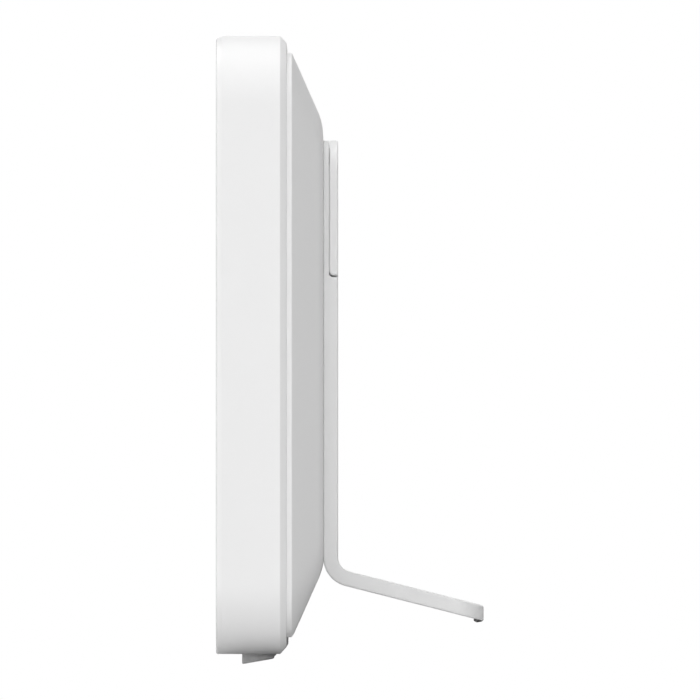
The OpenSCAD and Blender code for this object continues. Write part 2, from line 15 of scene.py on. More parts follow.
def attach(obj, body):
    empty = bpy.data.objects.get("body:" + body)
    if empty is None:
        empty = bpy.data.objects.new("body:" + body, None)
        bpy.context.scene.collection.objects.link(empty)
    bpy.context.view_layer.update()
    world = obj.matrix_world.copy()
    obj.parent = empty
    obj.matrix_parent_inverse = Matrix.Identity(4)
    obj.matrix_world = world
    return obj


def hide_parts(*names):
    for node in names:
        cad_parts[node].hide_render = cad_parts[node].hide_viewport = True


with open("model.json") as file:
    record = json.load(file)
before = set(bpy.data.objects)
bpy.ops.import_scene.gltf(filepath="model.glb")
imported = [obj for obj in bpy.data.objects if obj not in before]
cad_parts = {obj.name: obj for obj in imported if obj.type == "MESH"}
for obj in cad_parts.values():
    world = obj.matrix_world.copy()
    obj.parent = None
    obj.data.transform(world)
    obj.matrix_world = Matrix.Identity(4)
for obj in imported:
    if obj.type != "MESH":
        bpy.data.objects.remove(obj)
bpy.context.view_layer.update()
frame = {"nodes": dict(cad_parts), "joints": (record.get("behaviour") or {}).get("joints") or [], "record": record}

bl_info = {
    "name": "Desk Monitor Builder",
    "version": (1, 0, 0),
    "blender": (4, 5, 0),
    "location": "View3D > Sidebar > Monitor",
    "description": "Builds the case, stand, lid and feet of a leaning indoor monitor round its packed frame",
    "category": "Add Mesh",
}

MM = 0.001

# ---- The panel's frame ----

BACKWARD = np.array(next(j["axis"] for j in frame["joints"] if j["name"] == "cover_pull"), float)
BACKWARD /= np.linalg.norm(BACKWARD)
AXES = np.array([[1.0, 0.0, 0.0], BACKWARD, [0.0, -BACKWARD[2], BACKWARD[1]]])


def turned_extent(node):
    """Lowest and highest corner of a CAD node along the panel's axes."""
    mesh = frame["nodes"][node].data
    points = np.empty(len(mesh.vertices) * 3, np.float32)
    mesh.vertices.foreach_get("co", points)
    points = points.reshape(-1, 3).astype(float) @ AXES.T
    return points.min(0), points.max(0)


_LOW, _HIGH = turned_extent("cover_glass")
ORIGIN = np.array([(_LOW[0] + _HIGH[0]) / 2, _LOW[1], _LOW[2]])
LEAN = float(np.arctan2(-BACKWARD[2], BACKWARD[1]))


def extent(node):
    """Lowest and highest corner of a CAD node in the panel's frame."""
    low, high = turned_extent(node)
    return low - ORIGIN, high - ORIGIN


def to_row(points):
    """Panel's frame to the object's: each point is the origin plus its three steps along the panel's axes."""
    return (points + ORIGIN) @ AXES


def desk_height(depth):
    """Height of the desk in the panel's frame, where the leaning plane meets z = 0 of the object."""
    base = (ORIGIN @ AXES)[2]
    return (depth * np.sin(LEAN) - base) / np.cos(LEAN)


GLASS = extent("cover_glass")
PANEL_W = GLASS[1][0] - GLASS[0][0]
PANEL_H = GLASS[1][2]
GLASS_T = GLASS[1][1]
CASE_BACK = extent("housing")[1][1]
FLAT_BACK = extent("back_cover")[1][1]
STAND = extent("stand")
LID = extent("screw_cover")
PLATE_T = LID[1][1] - FLAT_BACK

# Radii of screw heads, which tell the screws' middles from the box round them, and other sizes of the fastenings
HEADS = {"board_screws": 1.9 * MM, "case_screws": 2.5 * MM, "stand_screws": 2.9 * MM}
BOARD_HOLE, BOARD_POST = 0.8 * MM, 2.5 * MM
CASE_HOLE, CASE_POST, CASE_SHANK, CASE_WELL, CASE_BOSS = 1.3 * MM, 3.4 * MM, 1.5 * MM, 2.9 * MM, 4.4 * MM
CASE_BOSS_TOP = extent("case_screws")[1][1] - 3.8 * MM
INSERT_HOLE, INSERT_BOSS = 2.1 * MM, 3.6 * MM
STAND_HOLE = 1.7 * MM
BUTTON_HOLE, BUTTON_GUIDE = 1.58 * MM, 2.9 * MM
FOOT_PEG = 1.25 * MM

# ---- Shapes: arrays of points, and the faces between them ----


def eased(corners, steps=6, hold=0.35 * MM):
    """A line through corners of (across, depth, radius), each turned into an arc.

    The arc's centre lies on the corner's bisector at radius over the sine of half its angle, and the arc runs
    between the two tangent points. A point on each side just past an arc keeps the straight beside it flat.
    """
    corners = np.asarray(corners, float)
    at, radius = corners[:, :2], corners[:, 2]
    side = np.diff(at, axis=0)
    length = np.linalg.norm(side, axis=1)
    unit = side / length[:, None]
    back, on = -unit[:-1], unit[1:]
    half = np.arccos(np.clip((back * on).sum(1), -1, 1)) / 2
    tangent = np.concatenate([[0], radius[1:-1] / np.tan(half), [0]])
    spare = np.minimum((length - tangent[:-1] - tangent[1:]) / 3, hold)
    line = [at[:1]]
    for i in range(1, len(at) - 1):
        a, b, h = back[i - 1], on[i - 1], half[i - 1]
        if radius[i] == 0:
            line.append(at[i:i + 1])
            continue
        centre = at[i] + (a + b) / np.linalg.norm(a + b) * radius[i] / np.sin(h)
        start, end = at[i] + a * tangent[i] - centre, at[i] + b * tangent[i] - centre
        turn = np.pi - 2 * h
        share = np.linspace(0, 1, steps + 1)[:, None]
        arc = (np.sin((1 - share) * turn) * start + np.sin(share * turn) * end) / np.sin(turn)
        line += [(at[i] + a * (tangent[i] + spare[i - 1]))[None], centre + arc,
                 (at[i] + b * (tangent[i] + spare[i]))[None]]
    line.append(at[-1:])
    return np.concatenate(line)


def rings(half, low, high, r_top, r_low, depth, steps=14, hold=0.6 * MM):
    """Rounded rectangles stacked along the depth, as rows x points x 3.

    A corner is its centre plus its radius times (cos a, sin a) over a quarter turn. With hold, one more point on
    each straight side just past the corner keeps the flat sides flat.
    """
    half, low, high, r_top, r_low, depth = (
        v.astype(float)[:, None, None]
        for v in np.broadcast_arrays(*map(np.atleast_1d, (half, low, high, r_top, r_low, depth))))
    arc = np.linspace(0, np.pi / 2, steps + 1)
    slide = np.zeros_like(arc)
    if hold:
        arc, slide = np.pad(arc, 1, mode="edge"), np.pad(slide, 1, constant_values=(-hold, hold))
    angle = np.arange(4)[:, None] * np.pi / 2 + arc
    right = np.array([1, -1, -1, 1])[:, None]
    top = np.array([True, True, False, False])[:, None]
    radius = np.where(top, r_top, r_low)
    x = right * (half - radius) + radius * np.cos(angle) - slide * np.sin(angle)
    z = np.where(top, high - radius, low + radius) + radius * np.sin(angle) + slide * np.cos(angle)
    points = np.stack([x, np.broadcast_to(depth, x.shape), z], -1)
    return points.reshape(len(points), -1, 3)


def panel_rings(profile, corner):
    """Rings of the panel's outline, stepped in by each inset of the profile; corner gives each ring's radius."""
    inset, depth = profile.T
    radius = corner(inset)
    return rings(PANEL_W / 2 - inset, inset, PANEL_H - inset, radius, radius, depth)


def turned(profile, at, steps=40):
    """A profile of (radius, depth) carried round the depth axis at (x, z): x + r cos a, z + r sin a."""
    angle = np.arange(steps) * 2 * np.pi / steps
    radius, depth = np.asarray(profile, float).T[:, :, None]
    x, z = at[0] + radius * np.cos(angle), at[1] + radius * np.sin(angle)
    return skin(np.stack([x, np.broadcast_to(depth, x.shape), z], -1))


def rod(radius, front, back, at, steps=40):
    """A plain round rod along the depth at (x, z)."""
    return turned([(radius, front), (radius, back)], at, steps)


def skin(rows, hollow=False):
    """A closed solid through a stack of rings: a quad between each two neighbouring points of neighbouring rings,
    and one face over the first and the last ring, or with hollow a band from the last ring back to the first."""
    index = np.arange(rows.shape[0] * rows.shape[1]).reshape(rows.shape[:2])
    ends = [] if hollow else [index[0][::-1].tolist(), index[-1].tolist()]
    if hollow:
        index = np.concatenate([index, index[:1]])
    beside = np.roll(index, -1, axis=1)
    quads = np.stack([index[:-1], beside[:-1], beside[1:], index[1:]], -1).reshape(-1, 4)
    return rows.reshape(-1, 3), quads.tolist() + ends


def block(low, high):
    """A plain block between two corners."""
    low, high = np.asarray(low, float), np.asarray(high, float)
    corner = np.array([[0, 0], [1, 0], [1, 1], [0, 1]])
    flat = low[[0, 2]] + corner * (high - low)[[0, 2]]
    return skin(np.stack([np.insert(flat, 1, depth, axis=1) for depth in (low[1], high[1])]))


def across(outline, half, ease=0.0, steps=4):
    """A side view of (depth, height) carried along x from -half to half, its ends rounded by ease.

    Towards each end the outline shrinks to its middle by 1 - cos a while x gains ease times sin a.
    """
    outline = np.asarray(outline, float)
    turn = np.linspace(0, np.pi / 2, steps + 1) if ease else np.zeros(1)
    shrink = ease * (1 - np.cos(turn))
    reach = half - ease + ease * np.sin(turn)
    x = np.concatenate([-reach[::-1], reach])
    shrink = np.concatenate([shrink[::-1], shrink])[:, None, None]
    middle = (outline.min(0) + outline.max(0)) / 2
    size = (outline.max(0) - outline.min(0)) / 2
    flat = middle + (outline - middle) * (1 - shrink / size)
    return skin(np.concatenate([np.broadcast_to(x[:, None, None], flat[..., :1].shape), flat], -1))


def gathered(shapes):
    """Several shapes as one."""
    points, faces, count = [], [], 0
    for vertices, sides in shapes:
        points.append(vertices)
        faces += [[i + count for i in side] for side in sides]
        count += len(vertices)
    return np.concatenate(points), faces


def repeated(shape, offsets):
    """A shape set down once at each offset."""
    return gathered([(shape[0] + np.asarray(offset), shape[1]) for offset in offsets])


def mouth(radius, depth, steps=5):
    """Offset and depth of a rounded hole's mouth: a quarter circle that flares out to the face at that depth."""
    a = np.linspace(0, np.pi / 2, steps + 1)
    return radius * (1 - np.cos(a)), depth - radius + radius * np.sin(a)


def hole(radius, at, floor, face, ease):
    """Cutter for a round hole from its floor out through a face, with its mouth rounded."""
    flare, depth = mouth(ease, face)
    line = np.concatenate([[[radius, floor]], np.stack([radius + flare, depth], 1), [[radius + ease, face + MM]]])
    return turned(line, at)


def tub(half_x, low, high, corner, floor, face, ease, middle=0.0):
    """Cutter for a rounded-rectangle opening from its floor out through a face, with its mouth rounded."""
    flare, depth = mouth(ease, face)
    flare = np.concatenate([[0], flare, [ease]])
    depth = np.concatenate([[floor], depth, [face + MM]])
    rows = rings(half_x + flare, low - flare, high + flare, corner + flare, corner + flare, depth, 8, 0)
    return skin(rows + np.array([middle, 0, 0]))


# ---- Blender objects ----


def solid(name, shape):
    """A mesh object from a shape in the panel's frame, with doubles merged and its faces turned outwards.

    It stays in millimetres and in the panel's frame until it is dressed, so that its flat sides are exactly flat
    while other shapes are joined to it and cut out of it.
    """
    mesh = bpy.data.meshes.new(name)
    mesh.from_pydata(shape[0] / MM, [], shape[1])
    work = bmesh.new()
    work.from_mesh(mesh)
    bmesh.ops.remove_doubles(work, verts=work.verts, dist=1e-4)
    bmesh.ops.recalc_face_normals(work, faces=work.faces)
    work.to_mesh(mesh)
    work.free()
    piece = bpy.data.objects.new(name, mesh)
    bpy.context.scene.collection.objects.link(piece)
    return piece


def combined(piece, operation, *shapes):
    """Joins each shape to a piece, or cuts it out of it, for good."""
    for shape in shapes:
        tool = solid("tool", shape)
        change = piece.modifiers.new("change", "BOOLEAN")
        change.operation, change.solver, change.object = operation, "EXACT", tool
        bpy.context.view_layer.update()
        changed = bpy.data.meshes.new_from_object(piece.evaluated_get(bpy.context.evaluated_depsgraph_get()))
        piece.modifiers.clear()
        plain, piece.data = piece.data, changed
        changed.name = piece.name
        bpy.data.meshes.remove(plain)
        bpy.data.objects.remove(tool)
        work = bmesh.new()
        work.from_mesh(changed)
        torn = sum(not edge.is_manifold for edge in work.edges)
        work.free()
        if torn or not changed.polygons:
            raise RuntimeError(f"{piece.name} has {torn} open edges after a shape was combined with it")


def dressed(piece, body, finish, slot, *nodes, sharp=32.0):
    """Shades a finished piece, gives it its finish, and sets it on its body in place of its CAD nodes."""
    mesh = piece.data
    points = np.empty(len(mesh.vertices) * 3, np.float32)
    mesh.vertices.foreach_get("co", points)
    points = to_row(points.reshape(-1, 3).astype(float) * MM)
    mesh.vertices.foreach_set("co", points.astype(np.float32).ravel())
    mesh.update()
    mesh.shade_smooth()
    mesh.set_sharp_from_angle(angle=np.radians(sharp))
    even = piece.modifiers.new("even shading", "WEIGHTED_NORMAL")
    even.keep_sharp, even.mode, even.weight = True, "FACE_AREA_WITH_ANGLE", 60
    mesh.materials.clear()
    mesh.materials.append(finish)
    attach(piece, body)
    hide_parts(*nodes)
    return piece


# ---- Finishes ----


class Signal:
    """One number that runs through a finish's nodes. Sums on it add the Math nodes that work them out."""

    def __init__(self, finish, socket):
        self.finish, self.socket = finish, socket

    def math(self, operation, *values):
        made = self.finish.node("ShaderNodeMath", {"operation": operation}, dict(enumerate(values)))
        return Signal(self.finish, made.outputs[0])

    def __add__(self, other):
        return self.math("ADD", self, other)

    def __radd__(self, other):
        return self.math("ADD", other, self)

    def __sub__(self, other):
        return self.math("SUBTRACT", self, other)

    def __rsub__(self, other):
        return self.math("SUBTRACT", other, self)

    def __mul__(self, other):
        return self.math("MULTIPLY", self, other)

    def __rmul__(self, other):
        return self.math("MULTIPLY", other, self)

    def __pow__(self, other):
        return self.math("POWER", self, other)

    def __abs__(self):
        return self.math("ABSOLUTE", self)

    def least(self, other):
        return self.math("MAXIMUM", self, other)

    def wave(self):
        return self.math("SINE", self)

    def ramp(self, start, end):
        """0 at start and 1 at end, eased between them."""
        made = self.finish.node("ShaderNodeMapRange", {"interpolation_type": "SMOOTHSTEP"},
                                {"Value": self, "From Min": start, "From Max": end})
        return Signal(self.finish, made.outputs[0])


class Finish:
    """One material: a Principled surface whose colour, roughness and relief are patterns in the panel's frame."""

    def __init__(self, name, **constants):
        self.material = bpy.data.materials.new(name)
        self.material.use_nodes = True
        self.tree = self.material.node_tree
        self.tree.nodes.clear()
        self.shader = self.node("ShaderNodeBsdfPrincipled", {}, {k.replace("_", " "): v for k, v in constants.items()})
        self.node("ShaderNodeOutputMaterial", {}, {"Surface": self.shader.outputs[0]})
        place = self.node("ShaderNodeTexCoord")
        origin = ORIGIN @ AXES
        self.place = self.node("ShaderNodeMapping", {"vector_type": "TEXTURE"}, {
            "Vector": place.outputs["Object"], "Location": tuple(origin), "Rotation": (-LEAN, 0.0, 0.0)}).outputs[0]

    def node(self, kind, settings=None, sockets=None):
        """Adds a node: its settings go first, then a value or a link into each of its sockets."""
        made = self.tree.nodes.new(kind)
        for key, value in (settings or {}).items():
            setattr(made, key, value)
        for key, value in (sockets or {}).items():
            value = value.socket if isinstance(value, Signal) else value
            if isinstance(value, bpy.types.NodeSocket):
                self.tree.links.new(value, made.inputs[key])
            else:
                made.inputs[key].default_value = value
        return made

    def xyz(self):
        """The point's x, depth and height in the panel's frame."""
        split = self.node("ShaderNodeSeparateXYZ", {}, {0: self.place})
        return [Signal(self, out) for out in split.outputs]

    def noise(self, size, detail=2.0, stretch=(1.0, 1.0, 1.0)):
        """Cloudy pattern from 0 to 1, its lumps about that size in metres, drawn out along an axis by stretch."""
        place = self.place
        if stretch != (1.0, 1.0, 1.0):
            place = self.node("ShaderNodeVectorMath", {"operation": "DIVIDE"}, {0: place, 1: stretch}).outputs[0]
        made = self.node("ShaderNodeTexNoise", {}, {"Vector": place, "Scale": 1 / size, "Detail": detail})
        return Signal(self, made.outputs[0])

    def cells(self, size):
        """Distance to the nearest of many scattered points, about that far apart in metres."""
        made = self.node("ShaderNodeTexVoronoi", {}, {"Vector": self.place, "Scale": 1 / size})
        return Signal(self, made.outputs["Distance"])

    def mix(self, share, plain, other):
        """Colour that goes from plain to other as share goes from 0 to 1."""
        made = self.node("ShaderNodeMix", {"data_type": "RGBA"}, {0: share, 6: plain, 7: other})
        return made.outputs[2]

    def shades(self, colour, share, spread):
        """A colour that wanders lighter and darker by spread as share goes from 0 to 1."""
        return self.mix(share, tone(colour, 1 - spread), tone(colour, 1 + spread))

    def surface(self, colour, rough, relief=None, height=0.02 * MM, strength=0.5, **more):
        """Links what changes over the surface into the shader, and returns the material."""
        links = {"Base Color": colour, "Roughness": rough, **{k.replace("_", " "): v for k, v in more.items()}}
        if relief is not None:
            bump = self.node("ShaderNodeBump", {}, {"Height": relief, "Distance": height, "Strength": strength})
            links["Normal"] = bump.outputs[0]
        for key, value in links.items():
            value = value.socket if isinstance(value, Signal) else value
            self.tree.links.new(value, self.shader.inputs[key])
        return self.material


def tone(colour, factor):
    """A colour made lighter or darker."""
    return tuple(min(1.0, c * factor) for c in colour[:3]) + (1.0,)


def moulded(name, colour, grain=0.28 * MM, rough=0.46, relief=0.014 * MM):
    """Moulded plastic: a fine spark-eroded grain, a slow drift of tone and a faintly uneven sheen."""
    f = Finish(name, Specular_IOR_Level=0.42)
    drift, fine = f.noise(38 * MM, 3), f.noise(grain, 2)
    colour = f.mix(fine * 0.35, f.shades(colour, drift, 0.012), tone(colour, 0.97))
    return f.surface(colour, rough + 0.1 * drift + 0.08 * fine, fine, relief, 0.45)


def powder_coat(name, colour):
    """Baked powder paint: an orange-peel relief, a fine speckle and a satin sheen."""
    f = Finish(name, Specular_IOR_Level=0.45)
    peel, fine, drift = f.noise(1.1 * MM, 1), f.noise(0.25 * MM, 2), f.noise(30 * MM, 2)
    colour = f.mix(fine.ramp(0.62, 0.72) * 0.25, f.shades(colour, drift, 0.012), tone(colour, 0.9))
    return f.surface(colour, 0.42 + 0.1 * drift + 0.08 * fine, peel + 0.35 * fine, 0.03 * MM, 0.5)


def printed_glass(name, border, screen_half, picture_half):
    """Front pane: white print round a black window, the slightly greyer picture area in it, and faint smudges."""
    f = Finish(name, Specular_IOR_Level=0.5, Coat_Weight=0.0)
    x, depth, z = f.xyz()

    def inside(half, radius, blur):
        """1 inside a rounded rectangle about the middle: its distance is the corner's length less the radius."""
        out_x, out_z = (abs(x) - (half[0] - radius)).least(0.0), (abs(z - PANEL_H / 2) - (half[1] - radius)).least(0.0)
        far = (out_x * out_x + out_z * out_z) ** 0.5
        return 1 - far.ramp(radius - blur, radius + blur)

    smudge, drift = f.noise(26 * MM, 4), f.noise(60 * MM, 2)
    face = 1 - depth.ramp(0.05 * MM, 0.3 * MM)
    window = inside(screen_half, 2.5 * MM, 0.06 * MM) * face
    picture = inside(picture_half, 0.4 * MM, 0.08 * MM)
    dark = f.mix(picture, (0.004, 0.004, 0.0045, 1), (0.0095, 0.0098, 0.0108, 1))
    colour = f.mix(window, f.shades(border, drift, 0.01), dark)
    rough = (0.34 - 0.26 * face) + 0.03 * smudge.ramp(0.45, 0.7)
    return f.surface(colour, rough, smudge, 0.002 * MM, 0.05)


def rubber(name, colour):
    """Soft matte rubber with a fine bloom and a few lighter specks."""
    f = Finish(name, Specular_IOR_Level=0.3)
    bloom, fine = f.noise(4 * MM, 3), f.noise(0.2 * MM, 2)
    colour = f.mix(fine.ramp(0.6, 0.75) * 0.3, f.shades(colour, bloom, 0.06), tone(colour, 1.25))
    return f.surface(colour, 0.68 + 0.16 * bloom, fine + 0.4 * bloom, 0.03 * MM, 0.5)


def metal(name, colour, rough=0.28, stretch=(1.0, 1.0, 1.0)):
    """Bare or plated metal: fine drawn lines along stretch, and a slow change of sheen."""
    f = Finish(name, Metallic=1.0)
    lines, stain = f.noise(0.12 * MM, 2, stretch), f.noise(5 * MM, 3)
    colour = f.mix(stain.ramp(0.55, 0.8) * 0.3, f.shades(colour, lines, 0.05), tone(colour, 0.8))
    return f.surface(colour, rough + 0.12 * lines + 0.08 * stain, lines, 0.006 * MM, 0.3)


def film(name, colour, lined=0.0):
    """Thin glossy film; with lined, fine conductors run up it that far apart in metres."""
    f = Finish(name, Coat_Weight=0.3, Coat_Roughness=0.12)
    cloud = f.noise(3 * MM, 3)
    base = f.shades(colour, cloud, 0.05)
    if lined:
        x = f.xyz()[0]
        strip = (x * (2 * np.pi / lined)).wave().ramp(0.1, 0.5)
        base = f.mix(strip * 0.45, base, tone(colour, 0.55))
        return f.surface(base, 0.24 + 0.12 * cloud, strip, 0.02 * MM, 0.4)
    return f.surface(base, 0.16 + 0.1 * cloud, cloud, 0.01 * MM, 0.2)


def board(name, colour):
    """Circuit board: solder mask over a net of fine tracks, with bare copper dots where they turn."""
    f = Finish(name, Coat_Weight=0.25, Coat_Roughness=0.2)
    cloud, (x, _, z) = f.noise(9 * MM, 3), f.xyz()
    bend = f.noise(7 * MM, 0) * 9.0
    track = ((x * (2 * np.pi / (1.3 * MM)) + bend).wave().ramp(0.55, 0.8)
             + (z * (2 * np.pi / (1.9 * MM)) + bend).wave().ramp(0.7, 0.9) * 0.5)
    dots = 1 - f.cells(2.6 * MM).ramp(0.14, 0.2)
    base = f.mix(dots * 0.7, f.mix(track * 0.4, f.shades(colour, cloud, 0.08), tone(colour, 1.7)),
                 (0.72, 0.55, 0.26, 1.0))
    return f.surface(base, 0.28 + 0.14 * cloud, track + dots, 0.03 * MM, 0.5, Metallic=dots * 0.8)


def slot_finish(slot, colour):
    """The finish of each material slot of the parts carried over from the frame."""
    recipes = {
        "adhesive": lambda: rubber(slot, colour),
        "touch_film": lambda: film(slot, colour),
        "flex_film": lambda: film(slot, colour, 0.7 * MM),
        "screen": lambda: film(slot, colour),
        "plain_metal": lambda: metal(slot, colour, 0.3, (8.0, 1.0, 1.0)),
        "aluminium_sheet": lambda: metal(slot, colour, 0.34, (1.0, 1.0, 10.0)),
        "screw_steel": lambda: metal(slot, colour, 0.26),
        "contact_brass": lambda: metal(slot, colour, 0.22),
        "circuit_board": lambda: board(slot, colour),
        "soft_pad": lambda: rubber(slot, colour),
        "black_rubber": lambda: rubber(slot, colour),
        "foot_rubber": lambda: rubber(slot, colour),
        "lead_sleeve": lambda: moulded(slot, colour, 0.5 * MM, 0.3),
    }
    return recipes.get(slot, lambda: moulded(slot, colour, 0.2 * MM, 0.5))()


SLOT_OF = {part["node"]: part["material_slot"] for part in frame["record"]["subparts"]}
SLOT_COLOUR = {m["slot"]: tuple(m["base_color"][:3]) for m in frame["record"]["materials"]}

# ---- Settings ----


def length(name, description, millimetres):
    """A size whose default is given in millimetres."""
    return bpy.props.FloatProperty(name=name, description=description, default=millimetres * MM, min=0.0, max=1.0,
                                   unit="LENGTH", subtype="DISTANCE", precision=4)


def paint(name, description, default):
    """A colour."""
    return bpy.props.FloatVectorProperty(name=name, description=description, default=default, size=3, min=0.0,
                                         max=1.0, subtype="COLOR")


class PanelSettings(bpy.types.PropertyGroup):
    """Sizes and colours of the glass and the case."""

    corner: length("Corner Radius", "Radius of the panel's four corners", 13)
    glass_ease: length("Glass Edge", "Rounding of the glass's front edge", 0.35)
    parting: length("Parting Edge", "Rounding of the two edges where glass and case meet", 0.05)
    wall: length("Wall", "Wall thickness of the case", 2.2)
    chamfer_depth: length("Chamfer Depth", "Depth of the chamfer on the case's back edge", 1.25)
    chamfer_inset: length("Chamfer Inset", "How far that chamfer cuts in from the side", 1.4)
    edge: length("Edge Rounding", "Rounding where the chamfer meets the side and the back", 0.35)
    flange: length("Flange", "How far the case's back edge reaches in", 7)
    window: bpy.props.FloatVectorProperty(name="Window", description="Width and height of the black window",
                                          default=(0.1592, 0.0912), size=2, unit="LENGTH")
    picture: bpy.props.FloatVectorProperty(name="Picture", description="Width and height of the picture area",
                                           default=(0.1542, 0.0859), size=2, unit="LENGTH")
    white: paint("Case White", "Colour of the case and the back cover", (0.9, 0.9, 0.9))
    print_white: paint("Print White", "Colour of the printed border", (0.9, 0.9, 0.9))


class BackSettings(bpy.types.PropertyGroup):
    """Sizes of the back cover."""

    rim_inset: length("Rim Inset", "Step in from the case's side to the rim", 3.4)
    rim_depth: length("Rim Depth", "Depth of the rim's upright band", 1.1)
    slope: bpy.props.FloatProperty(name="Slope", description="Angle between the sloping sides and the upright",
                                   default=float(np.radians(24.1)), subtype="ANGLE", unit="ROTATION")
    fillet: length("Slope Rounding", "Radius where the sloping sides turn into the flat back", 12)
    corner: length("Back Corner Radius", "Corner radius of the flat back", 6)
    wall: length("Cover Wall", "Wall thickness of the back cover", 2)
    bay_half: length("Bay Half Width", "Half the width of the connector bay", 26)
    bay_low: length("Bay Low", "Height of the bay's lower wall", 22)
    bay_high: length("Bay High", "Height of the bay's upper wall", 63)
    bay_floor: length("Bay Floor", "Depth of the bay's floor from the glass face", 8.3)
    bay_wall: length("Bay Wall", "Wall thickness of the bay", 1.3)
    slot_ease: length("Slot Edge", "Rounding of the mouths of slots and holes", 0.2)


class StandSettings(bpy.types.PropertyGroup):
    """Sizes and colours of the stand, its lid and the feet."""

    corner: length("Plate Corner Radius", "Radius of the plate's corners", 6)
    bend: length("Bend Radius", "Inner radius of the bend", 3)
    slope: bpy.props.FloatProperty(name="Leg Slope", description="Slope of the leg, down from a square bend",
                                   default=float(np.radians(14.25)), subtype="ANGLE", unit="ROTATION")
    edge: length("Plate Edge", "Rounding of the plate's edges", 0.35)
    lid_t: length("Lid Thickness", "Thickness of the screw cover", 1.87)
    lid_gap: length("Lid Gap", "Gap round the screw cover", 0.15)
    lid_skin: length("Lid Skin", "Thickness of the screw cover over its hollow", 0.7)
    seat_r: length("Seat Corner", "Rounding of the inner corner that the lid sits in", 0.85)
    peg_out: length("Peg Spacing", "Distance of the lid's pegs from the middle", 42)
    peg_r: length("Peg Radius", "Radius of the lid's pegs", 1.5)
    window_half: bpy.props.FloatVectorProperty(name="Cable Window", description="Half the window's width and height",
                                               default=(0.022, 0.017), size=2, unit="LENGTH")
    window_z: length("Window Height", "Height of the window's middle", 42)
    window_r: length("Window Corner", "Corner radius of the window", 5)
    colour: paint("Stand Colour", "Powder coat of the plate", (0.82, 0.82, 0.82))
    lid_colour: paint("Lid Colour", "Colour of the screw cover", (0.86, 0.86, 0.86))
    foot_ease: length("Foot Edge", "Rounding of the feet's edges", 0.3)
    foot_colour: paint("Foot Colour", "Colour of the rubber feet", (0.88, 0.88, 0.88))


class StudioSettings(bpy.types.PropertyGroup):
    """Camera, lights and floor."""

    aim_depth: length("Aim Depth", "Depth in the panel that the camera points at", 27.05)
    aim_height: length("Aim Height", "Height in the panel that the camera points at", 61.38)
    eye_height: length("Eye Height", "Height of the camera, in the panel's frame", 22)
    field: length("Field", "Width of the view at the near side of the panel", 141.2)
    lens: bpy.props.FloatProperty(name="Lens", description="Focal length in millimetres", default=1300.0)
    ambient: bpy.props.FloatProperty(name="Ambient", description="Brightness of the light from all round", default=0.08)
    floor: paint("Floor", "Colour of the floor", (0.6, 0.6, 0.6))


# ---- Pieces ----


class MonitorOperator:
    """What the operators share."""

    bl_options = {"REGISTER", "UNDO"}


class MONITOR_OT_glass(MonitorOperator, bpy.types.Operator):
    """Add the front glass with its printed border and microphone hole"""

    bl_idname = "monitor.glass"
    bl_label = "Glass Pane"

    def execute(self, context):
        s = context.scene.monitor_panel
        line = eased([(30 * MM, GLASS_T, 0), (0, GLASS_T, s.parting), (0, 0, s.glass_ease), (30 * MM, 0, 0)])
        piece = solid("glass_pane", skin(panel_rings(line, lambda inset: np.maximum(s.corner - inset, MM))))
        boot = sum(extent("microphone_boot")) / 2
        cut = turned([(0.75 * MM, -MM), (0.75 * MM, 0), (0.6 * MM, 0.15 * MM), (0.6 * MM, GLASS_T + MM)],
                     (boot[0], boot[2]), 32)
        combined(piece, "DIFFERENCE", cut)
        finish = printed_glass("printed_glass", s.print_white, np.array(s.window) / 2, np.array(s.picture) / 2)
        dressed(piece, "monitor", finish, "cover_glass", "cover_glass")
        return {"FINISHED"}


def screw_places(node):
    """Middles of four like screws, from the box round their heads."""
    (low, high), head = extent(node), HEADS[node]
    return [(x, z) for x in (low[0] + head, high[0] - head) for z in (low[2] + head, high[2] - head)]


